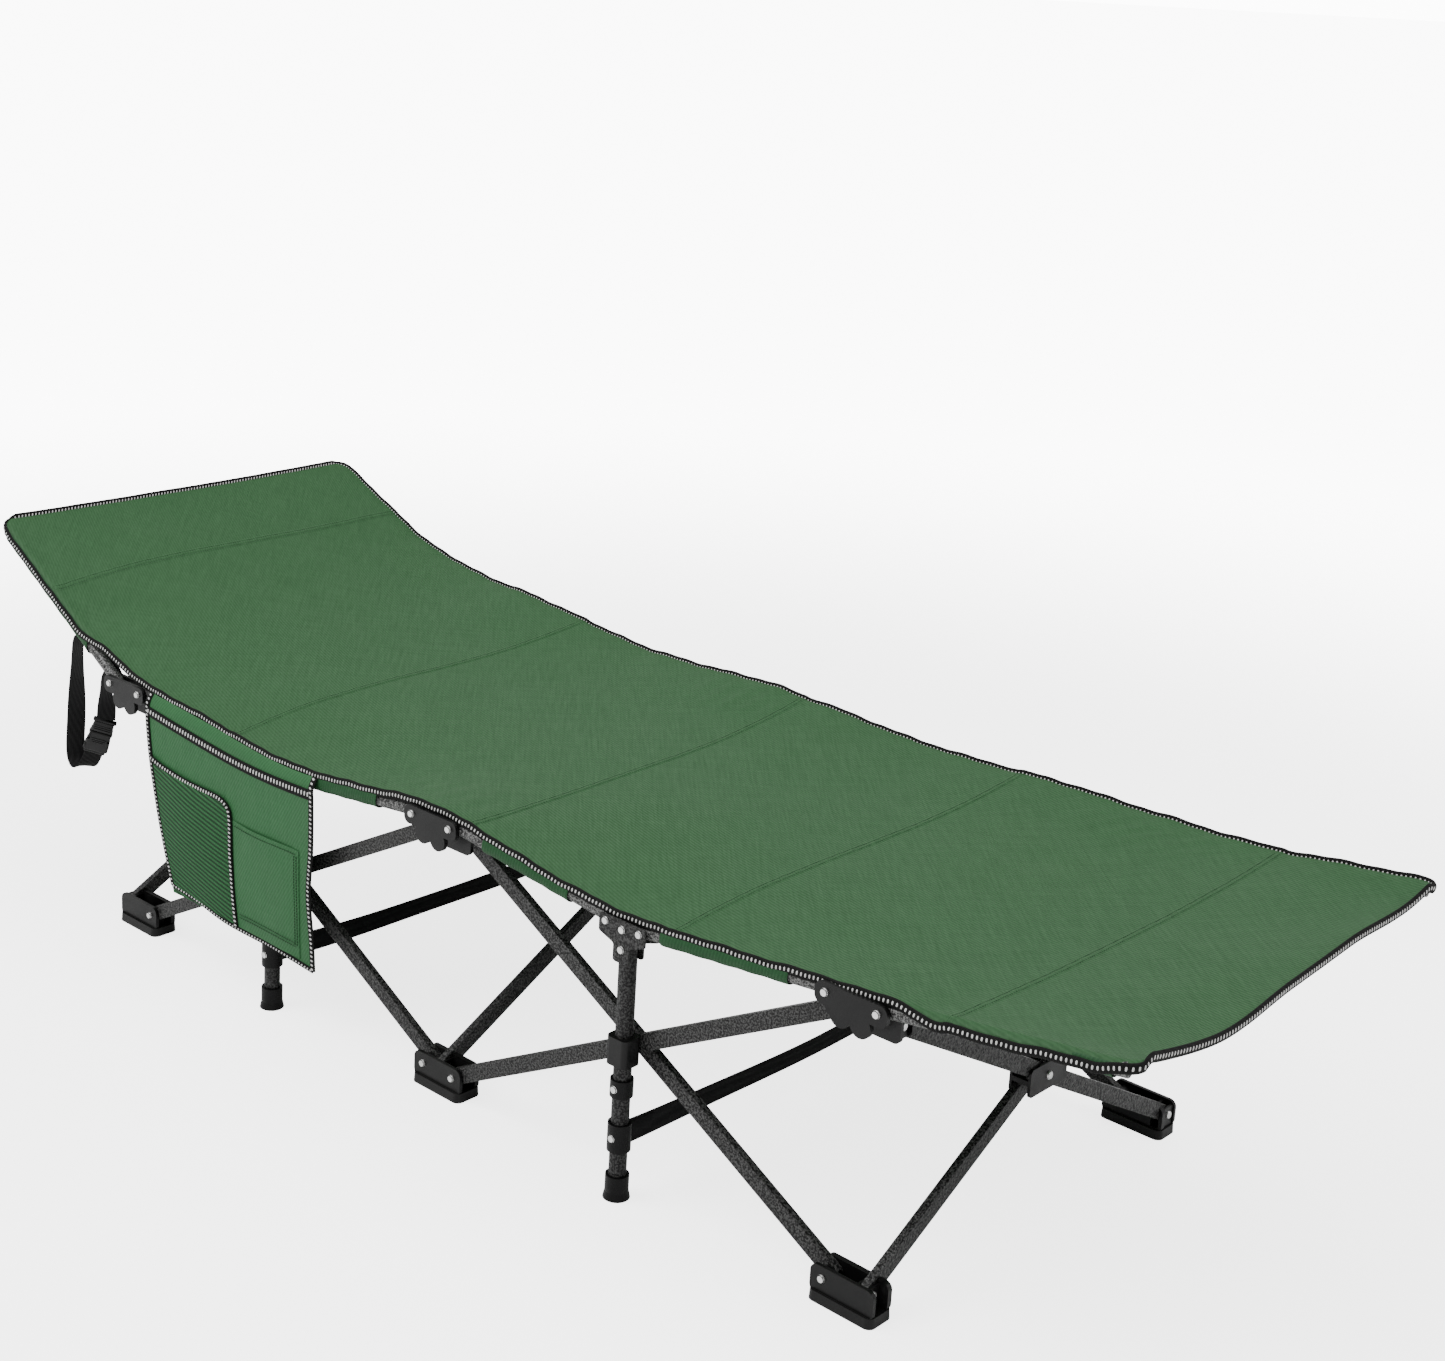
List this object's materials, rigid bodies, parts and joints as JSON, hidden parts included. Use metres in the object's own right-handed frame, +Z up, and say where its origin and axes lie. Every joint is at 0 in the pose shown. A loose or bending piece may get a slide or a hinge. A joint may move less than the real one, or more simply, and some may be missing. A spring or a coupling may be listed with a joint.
{
  "type": "folding cot",
  "caption": "Folding camp cot: fabric deck with raised head on a bundle-folding lattice of side and cross scissors, top hubs, floor feet and legs.",
  "frame": {"origin": "on the floor under the middle of the open cot", "axes": "+X along the cot from the raised head end to the foot end, +Y across it to the far side (the pocket hangs on the -Y side), +Z up"},
  "size_m": [1.9, 0.662, 0.5391],
  "materials": {
    "black_plastic": "moulded, fine grain",
    "hammered_steel": "hammered grey powder coat",
    "grey_tube": "hammered grey powder coat",
    "green_fabric": "woven polyester, coated",
    "black_webbing": "ribbed polypropylene webbing"
  },
  "bodies": {
    "hub_near_head": {"hub_near_head": "black_plastic", "carry_strap": "black_webbing", "carry_strap_buckle": "black_plastic"},
    "foot_near_head": {"foot_near_head": "black_plastic"},
    "hub_near_middle": {"hub_near_middle": "black_plastic"},
    "foot_near_middle": {"foot_near_middle": "black_plastic"},
    "hub_near_foot": {"hub_near_foot": "black_plastic"},
    "foot_near_foot": {"foot_near_foot": "black_plastic"},
    "side_bar_near_head_outer": {"side_bar_near_head_outer": "hammered_steel"},
    "side_bar_near_head_inner": {"side_bar_near_head_inner": "hammered_steel"},
    "slide_collar_near_head": {"slide_collar_near_head": "black_plastic"},
    "leg_near_head": {"leg_near_head": "hammered_steel", "side_pocket": "green_fabric", "cross_strap_head": "black_webbing"},
    "side_bar_near_foot_outer": {"side_bar_near_foot_outer": "hammered_steel"},
    "side_bar_near_foot_inner": {"side_bar_near_foot_inner": "hammered_steel"},
    "slide_collar_near_foot": {"slide_collar_near_foot": "black_plastic"},
    "leg_near_foot": {"leg_near_foot": "hammered_steel", "cross_strap_foot": "black_webbing"},
    "rail_near_1": {"rail_near_1": "grey_tube", "deck_1": "green_fabric"},
    "rail_near_2": {"rail_near_2": "grey_tube", "deck_2": "green_fabric"},
    "rail_near_3": {"rail_near_3": "grey_tube", "deck_3": "green_fabric"},
    "rail_near_4": {"rail_near_4": "grey_tube", "deck_4": "green_fabric"},
    "head_tube_near": {"head_tube_near": "grey_tube", "deck_head": "green_fabric"},
    "foot_tube_near": {"foot_tube_near": "grey_tube", "deck_foot": "green_fabric"},
    "hub_far_head": {"hub_far_head": "black_plastic"},
    "foot_far_head": {"foot_far_head": "black_plastic"},
    "hub_far_middle": {"hub_far_middle": "black_plastic"},
    "foot_far_middle": {"foot_far_middle": "black_plastic"},
    "hub_far_foot": {"hub_far_foot": "black_plastic"},
    "foot_far_foot": {"foot_far_foot": "black_plastic"},
    "side_bar_far_head_outer": {"side_bar_far_head_outer": "hammered_steel"},
    "side_bar_far_head_inner": {"side_bar_far_head_inner": "hammered_steel"},
    "slide_collar_far_head": {"slide_collar_far_head": "black_plastic"},
    "leg_far_head": {"leg_far_head": "hammered_steel"},
    "side_bar_far_foot_outer": {"side_bar_far_foot_outer": "hammered_steel"},
    "side_bar_far_foot_inner": {"side_bar_far_foot_inner": "hammered_steel"},
    "slide_collar_far_foot": {"slide_collar_far_foot": "black_plastic"},
    "leg_far_foot": {"leg_far_foot": "hammered_steel"},
    "rail_far_1": {"rail_far_1": "grey_tube"},
    "rail_far_2": {"rail_far_2": "grey_tube"},
    "rail_far_3": {"rail_far_3": "grey_tube"},
    "rail_far_4": {"rail_far_4": "grey_tube"},
    "head_tube_far": {"head_tube_far": "grey_tube"},
    "foot_tube_far": {"foot_tube_far": "grey_tube"},
    "cross_bar_head_low_near": {"cross_bar_head_low_near": "hammered_steel"},
    "cross_bar_head_low_far": {"cross_bar_head_low_far": "hammered_steel"},
    "cross_block_head": {"cross_block_head": "black_plastic"},
    "cross_bar_middle_low_near": {"cross_bar_middle_low_near": "hammered_steel"},
    "cross_bar_middle_low_far": {"cross_bar_middle_low_far": "hammered_steel"},
    "cross_block_middle": {"cross_block_middle": "black_plastic"},
    "cross_bar_foot_low_near": {"cross_bar_foot_low_near": "hammered_steel"},
    "cross_bar_foot_low_far": {"cross_bar_foot_low_far": "hammered_steel"},
    "cross_block_foot": {"cross_block_foot": "black_plastic"}
  },
  "joints": [
    {"name": "fold", "type": "hinge", "parent": "foot_near_middle", "child": "side_bar_near_head_inner", "pos_m": [-0.0265, -0.28525, 0.028], "axis": [0, 1, 0], "range_deg": [0, 56.21], "deforming": ["deck_head", "deck_1", "deck_2", "deck_3", "deck_4", "deck_foot", "side_pocket", "cross_strap_head", "cross_strap_foot"]},
    {"name": "slide_collar_near_head_pivot", "type": "hinge", "parent": "side_bar_near_head_inner", "child": "slide_collar_near_head", "pos_m": [-0.31675, -0.28525, 0.184], "axis": [0, 1, 0], "range_deg": [-56.21, 0]},
    {"name": "hub_near_head_pivot", "type": "hinge", "parent": "side_bar_near_head_inner", "child": "hub_near_head", "pos_m": [-0.607, -0.28525, 0.34], "axis": [0, 1, 0], "range_deg": [-56.21, 0]},
    {"name": "side_bar_near_head_outer_pivot", "type": "hinge", "parent": "slide_collar_near_head", "child": "side_bar_near_head_outer", "pos_m": [-0.31675, -0.29525, 0.184], "axis": [0, 1, 0], "range_deg": [-56.21, 0]},
    {"name": "foot_near_head_pivot", "type": "hinge", "parent": "side_bar_near_head_outer", "child": "foot_near_head", "pos_m": [-0.607, -0.29525, 0.028], "axis": [0, 1, 0], "range_deg": [0, 56.21]},
    {"name": "side_bar_near_foot_outer_pivot", "type": "hinge", "parent": "foot_near_middle", "child": "side_bar_near_foot_outer", "pos_m": [0.0265, -0.29525, 0.028], "axis": [0, 1, 0], "range_deg": [-56.21, 0]},
    {"name": "slide_collar_near_foot_pivot", "type": "hinge", "parent": "side_bar_near_foot_outer", "child": "slide_collar_near_foot", "pos_m": [0.31675, -0.29525, 0.184], "axis": [0, 1, 0], "range_deg": [0, 56.21]},
    {"name": "hub_near_foot_pivot", "type": "hinge", "parent": "side_bar_near_foot_outer", "child": "hub_near_foot", "pos_m": [0.607, -0.29525, 0.34], "axis": [0, 1, 0], "range_deg": [0, 56.21]},
    {"name": "side_bar_near_foot_inner_pivot", "type": "hinge", "parent": "slide_collar_near_foot", "child": "side_bar_near_foot_inner", "pos_m": [0.31675, -0.28525, 0.184], "axis": [0, 1, 0], "range_deg": [0, 56.21]},
    {"name": "foot_near_foot_pivot", "type": "hinge", "parent": "side_bar_near_foot_inner", "child": "foot_near_foot", "pos_m": [0.607, -0.28525, 0.028], "axis": [0, 1, 0], "range_deg": [-56.21, 0]},
    {"name": "hub_near_middle_pivot", "type": "hinge", "parent": "side_bar_near_foot_inner", "child": "hub_near_middle", "pos_m": [0.0265, -0.28525, 0.34], "axis": [0, 1, 0], "range_deg": [-56.21, 0]},
    {"name": "leg_near_head_slide", "type": "slide", "parent": "slide_collar_near_head", "child": "leg_near_head", "axis": [0, 0, 1], "range_m": [-0.06016, 0]},
    {"name": "rail_near_1_pivot", "type": "hinge", "parent": "leg_near_head", "child": "rail_near_1", "pos_m": [-0.34205, -0.314, 0.3348], "axis": [0, 1, 0], "range_deg": [0, 83.86]},
    {"name": "rail_near_2_pivot", "type": "hinge", "parent": "leg_near_head", "child": "rail_near_2", "pos_m": [-0.29145, -0.314, 0.3348], "axis": [0, 1, 0], "range_deg": [-83.86, 0]},
    {"name": "leg_near_foot_slide", "type": "slide", "parent": "slide_collar_near_foot", "child": "leg_near_foot", "axis": [0, 0, 1], "range_m": [-0.06016, 0]},
    {"name": "rail_near_3_pivot", "type": "hinge", "parent": "leg_near_foot", "child": "rail_near_3", "pos_m": [0.29145, -0.314, 0.3348], "axis": [0, 1, 0], "range_deg": [0, 83.86]},
    {"name": "rail_near_4_pivot", "type": "hinge", "parent": "leg_near_foot", "child": "rail_near_4", "pos_m": [0.34205, -0.314, 0.3348], "axis": [0, 1, 0], "range_deg": [-83.86, 0]},
    {"name": "head_tube_near_pivot", "type": "hinge", "parent": "hub_near_head", "child": "head_tube_near", "pos_m": [-0.6665, -0.314, 0.3626], "axis": [0, 1, 0], "range_deg": [0, 60]},
    {"name": "foot_tube_near_pivot", "type": "hinge", "parent": "hub_near_foot", "child": "foot_tube_near", "pos_m": [0.6665, -0.314, 0.3626], "axis": [0, 1, 0], "range_deg": [-81, 0]},
    {"name": "cross_bar_middle_low_near_pivot", "type": "hinge", "parent": "foot_near_middle", "child": "cross_bar_middle_low_near", "pos_m": [-0.00525, -0.29025, 0.028], "axis": [1, 0, 0], "range_deg": [0, 56.21]},
    {"name": "cross_block_middle_pivot", "type": "hinge", "parent": "cross_bar_middle_low_near", "child": "cross_block_middle", "pos_m": [0, 0, 0.184], "axis": [1, 0, 0], "range_deg": [-56.21, 0]},
    {"name": "hub_far_middle_pivot", "type": "hinge", "parent": "cross_bar_middle_low_near", "child": "hub_far_middle", "pos_m": [-0.00525, 0.29025, 0.34], "axis": [1, 0, 0], "range_deg": [-56.21, 0]},
    {"name": "cross_bar_middle_low_far_pivot", "type": "hinge", "parent": "hub_near_middle", "child": "cross_bar_middle_low_far", "pos_m": [0.00525, -0.29025, 0.34], "axis": [1, 0, 0], "range_deg": [-56.21, 0]},
    {"name": "foot_far_middle_pivot", "type": "hinge", "parent": "cross_bar_middle_low_far", "child": "foot_far_middle", "pos_m": [0.00525, 0.29025, 0.028], "axis": [1, 0, 0], "range_deg": [0, 56.21]},
    {"name": "side_bar_far_head_inner_pivot", "type": "hinge", "parent": "foot_far_middle", "child": "side_bar_far_head_inner", "pos_m": [-0.0265, 0.28525, 0.028], "axis": [0, 1, 0], "range_deg": [0, 56.21]},
    {"name": "slide_collar_far_head_pivot", "type": "hinge", "parent": "side_bar_far_head_inner", "child": "slide_collar_far_head", "pos_m": [-0.31675, 0.28525, 0.184], "axis": [0, 1, 0], "range_deg": [-56.21, 0]},
    {"name": "hub_far_head_pivot", "type": "hinge", "parent": "side_bar_far_head_inner", "child": "hub_far_head", "pos_m": [-0.607, 0.28525, 0.34], "axis": [0, 1, 0], "range_deg": [-56.21, 0]},
    {"name": "side_bar_far_head_outer_pivot", "type": "hinge", "parent": "slide_collar_far_head", "child": "side_bar_far_head_outer", "pos_m": [-0.31675, 0.29525, 0.184], "axis": [0, 1, 0], "range_deg": [-56.21, 0]},
    {"name": "foot_far_head_pivot", "type": "hinge", "parent": "side_bar_far_head_outer", "child": "foot_far_head", "pos_m": [-0.607, 0.29525, 0.028], "axis": [0, 1, 0], "range_deg": [0, 56.21]},
    {"name": "side_bar_far_foot_outer_pivot", "type": "hinge", "parent": "foot_far_middle", "child": "side_bar_far_foot_outer", "pos_m": [0.0265, 0.29525, 0.028], "axis": [0, 1, 0], "range_deg": [-56.21, 0]},
    {"name": "slide_collar_far_foot_pivot", "type": "hinge", "parent": "side_bar_far_foot_outer", "child": "slide_collar_far_foot", "pos_m": [0.31675, 0.29525, 0.184], "axis": [0, 1, 0], "range_deg": [0, 56.21]},
    {"name": "hub_far_foot_pivot", "type": "hinge", "parent": "side_bar_far_foot_outer", "child": "hub_far_foot", "pos_m": [0.607, 0.29525, 0.34], "axis": [0, 1, 0], "range_deg": [0, 56.21]},
    {"name": "side_bar_far_foot_inner_pivot", "type": "hinge", "parent": "slide_collar_far_foot", "child": "side_bar_far_foot_inner", "pos_m": [0.31675, 0.28525, 0.184], "axis": [0, 1, 0], "range_deg": [0, 56.21]},
    {"name": "foot_far_foot_pivot", "type": "hinge", "parent": "side_bar_far_foot_inner", "child": "foot_far_foot", "pos_m": [0.607, 0.28525, 0.028], "axis": [0, 1, 0], "range_deg": [-56.21, 0]},
    {"name": "leg_far_head_slide", "type": "slide", "parent": "slide_collar_far_head", "child": "leg_far_head", "axis": [0, 0, 1], "range_m": [-0.06016, 0]},
    {"name": "rail_far_1_pivot", "type": "hinge", "parent": "leg_far_head", "child": "rail_far_1", "pos_m": [-0.34205, 0.314, 0.3348], "axis": [0, 1, 0], "range_deg": [0, 83.86]},
    {"name": "rail_far_2_pivot", "type": "hinge", "parent": "leg_far_head", "child": "rail_far_2", "pos_m": [-0.29145, 0.314, 0.3348], "axis": [0, 1, 0], "range_deg": [-83.86, 0]},
    {"name": "leg_far_foot_slide", "type": "slide", "parent": "slide_collar_far_foot", "child": "leg_far_foot", "axis": [0, 0, 1], "range_m": [-0.06016, 0]},
    {"name": "rail_far_3_pivot", "type": "hinge", "parent": "leg_far_foot", "child": "rail_far_3", "pos_m": [0.29145, 0.314, 0.3348], "axis": [0, 1, 0], "range_deg": [0, 83.86]},
    {"name": "rail_far_4_pivot", "type": "hinge", "parent": "leg_far_foot", "child": "rail_far_4", "pos_m": [0.34205, 0.314, 0.3348], "axis": [0, 1, 0], "range_deg": [-83.86, 0]},
    {"name": "head_tube_far_pivot", "type": "hinge", "parent": "hub_far_head", "child": "head_tube_far", "pos_m": [-0.6665, 0.314, 0.3626], "axis": [0, 1, 0], "range_deg": [0, 60]},
    {"name": "foot_tube_far_pivot", "type": "hinge", "parent": "hub_far_foot", "child": "foot_tube_far", "pos_m": [0.6665, 0.314, 0.3626], "axis": [0, 1, 0], "range_deg": [-81, 0]},
    {"name": "cross_bar_head_low_near_pivot", "type": "hinge", "parent": "foot_near_head", "child": "cross_bar_head_low_near", "pos_m": [-0.66525, -0.29025, 0.028], "axis": [1, 0, 0], "range_deg": [0, 56.21]},
    {"name": "cross_block_head_pivot", "type": "hinge", "parent": "cross_bar_head_low_near", "child": "cross_block_head", "pos_m": [-0.66, 0, 0.184], "axis": [1, 0, 0], "range_deg": [-56.21, 0]},
    {"name": "cross_bar_head_low_far_pivot", "type": "hinge", "parent": "hub_near_head", "child": "cross_bar_head_low_far", "pos_m": [-0.65475, -0.29025, 0.34], "axis": [1, 0, 0], "range_deg": [-56.21, 0]},
    {"name": "cross_bar_foot_low_near_pivot", "type": "hinge", "parent": "foot_near_foot", "child": "cross_bar_foot_low_near", "pos_m": [0.65475, -0.29025, 0.028], "axis": [1, 0, 0], "range_deg": [0, 56.21]},
    {"name": "cross_block_foot_pivot", "type": "hinge", "parent": "cross_bar_foot_low_near", "child": "cross_block_foot", "pos_m": [0.66, 0, 0.184], "axis": [1, 0, 0], "range_deg": [-56.21, 0]},
    {"name": "cross_bar_foot_low_far_pivot", "type": "hinge", "parent": "hub_near_foot", "child": "cross_bar_foot_low_far", "pos_m": [0.66525, -0.29025, 0.34], "axis": [1, 0, 0], "range_deg": [-56.21, 0]}
  ],
  "couplings": [
    {"joint": "slide_collar_near_head_pivot", "follows": "fold", "ratio": -1},
    {"joint": "hub_near_head_pivot", "follows": "fold", "ratio": -1},
    {"joint": "side_bar_near_head_outer_pivot", "follows": "fold", "ratio": -1},
    {"joint": "foot_near_head_pivot", "follows": "fold", "ratio": 1},
    {"joint": "side_bar_near_foot_outer_pivot", "follows": "fold", "ratio": -1},
    {"joint": "slide_collar_near_foot_pivot", "follows": "fold", "ratio": 1},
    {"joint": "hub_near_foot_pivot", "follows": "fold", "ratio": 1},
    {"joint": "side_bar_near_foot_inner_pivot", "follows": "fold", "ratio": 1},
    {"joint": "foot_near_foot_pivot", "follows": "fold", "ratio": -1},
    {"joint": "hub_near_middle_pivot", "follows": "fold", "ratio": -1},
    {"joint": "leg_near_head_slide", "follows": "fold", "m_per_rad": -0.06133},
    {"joint": "rail_near_1_pivot", "follows": "fold", "ratio": 1.492},
    {"joint": "rail_near_2_pivot", "follows": "fold", "ratio": -1.492},
    {"joint": "leg_near_foot_slide", "follows": "fold", "m_per_rad": -0.06133},
    {"joint": "rail_near_3_pivot", "follows": "fold", "ratio": 1.492},
    {"joint": "rail_near_4_pivot", "follows": "fold", "ratio": -1.492},
    {"joint": "head_tube_near_pivot", "follows": "fold", "ratio": 1.0675},
    {"joint": "foot_tube_near_pivot", "follows": "fold", "ratio": -1.4411},
    {"joint": "cross_bar_middle_low_near_pivot", "follows": "fold", "ratio": 1},
    {"joint": "cross_block_middle_pivot", "follows": "fold", "ratio": -1},
    {"joint": "hub_far_middle_pivot", "follows": "fold", "ratio": -1},
    {"joint": "cross_bar_middle_low_far_pivot", "follows": "fold", "ratio": -1},
    {"joint": "foot_far_middle_pivot", "follows": "fold", "ratio": 1},
    {"joint": "side_bar_far_head_inner_pivot", "follows": "fold", "ratio": 1},
    {"joint": "slide_collar_far_head_pivot", "follows": "fold", "ratio": -1},
    {"joint": "hub_far_head_pivot", "follows": "fold", "ratio": -1},
    {"joint": "side_bar_far_head_outer_pivot", "follows": "fold", "ratio": -1},
    {"joint": "foot_far_head_pivot", "follows": "fold", "ratio": 1},
    {"joint": "side_bar_far_foot_outer_pivot", "follows": "fold", "ratio": -1},
    {"joint": "slide_collar_far_foot_pivot", "follows": "fold", "ratio": 1},
    {"joint": "hub_far_foot_pivot", "follows": "fold", "ratio": 1},
    {"joint": "side_bar_far_foot_inner_pivot", "follows": "fold", "ratio": 1},
    {"joint": "foot_far_foot_pivot", "follows": "fold", "ratio": -1},
    {"joint": "leg_far_head_slide", "follows": "fold", "m_per_rad": -0.06133},
    {"joint": "rail_far_1_pivot", "follows": "fold", "ratio": 1.492},
    {"joint": "rail_far_2_pivot", "follows": "fold", "ratio": -1.492},
    {"joint": "leg_far_foot_slide", "follows": "fold", "m_per_rad": -0.06133},
    {"joint": "rail_far_3_pivot", "follows": "fold", "ratio": 1.492},
    {"joint": "rail_far_4_pivot", "follows": "fold", "ratio": -1.492},
    {"joint": "head_tube_far_pivot", "follows": "fold", "ratio": 1.0675},
    {"joint": "foot_tube_far_pivot", "follows": "fold", "ratio": -1.4411},
    {"joint": "cross_bar_head_low_near_pivot", "follows": "fold", "ratio": 1},
    {"joint": "cross_block_head_pivot", "follows": "fold", "ratio": -1},
    {"joint": "cross_bar_head_low_far_pivot", "follows": "fold", "ratio": -1},
    {"joint": "cross_bar_foot_low_near_pivot", "follows": "fold", "ratio": 1},
    {"joint": "cross_block_foot_pivot", "follows": "fold", "ratio": -1},
    {"joint": "cross_bar_foot_low_far_pivot", "follows": "fold", "ratio": -1}
  ]
}
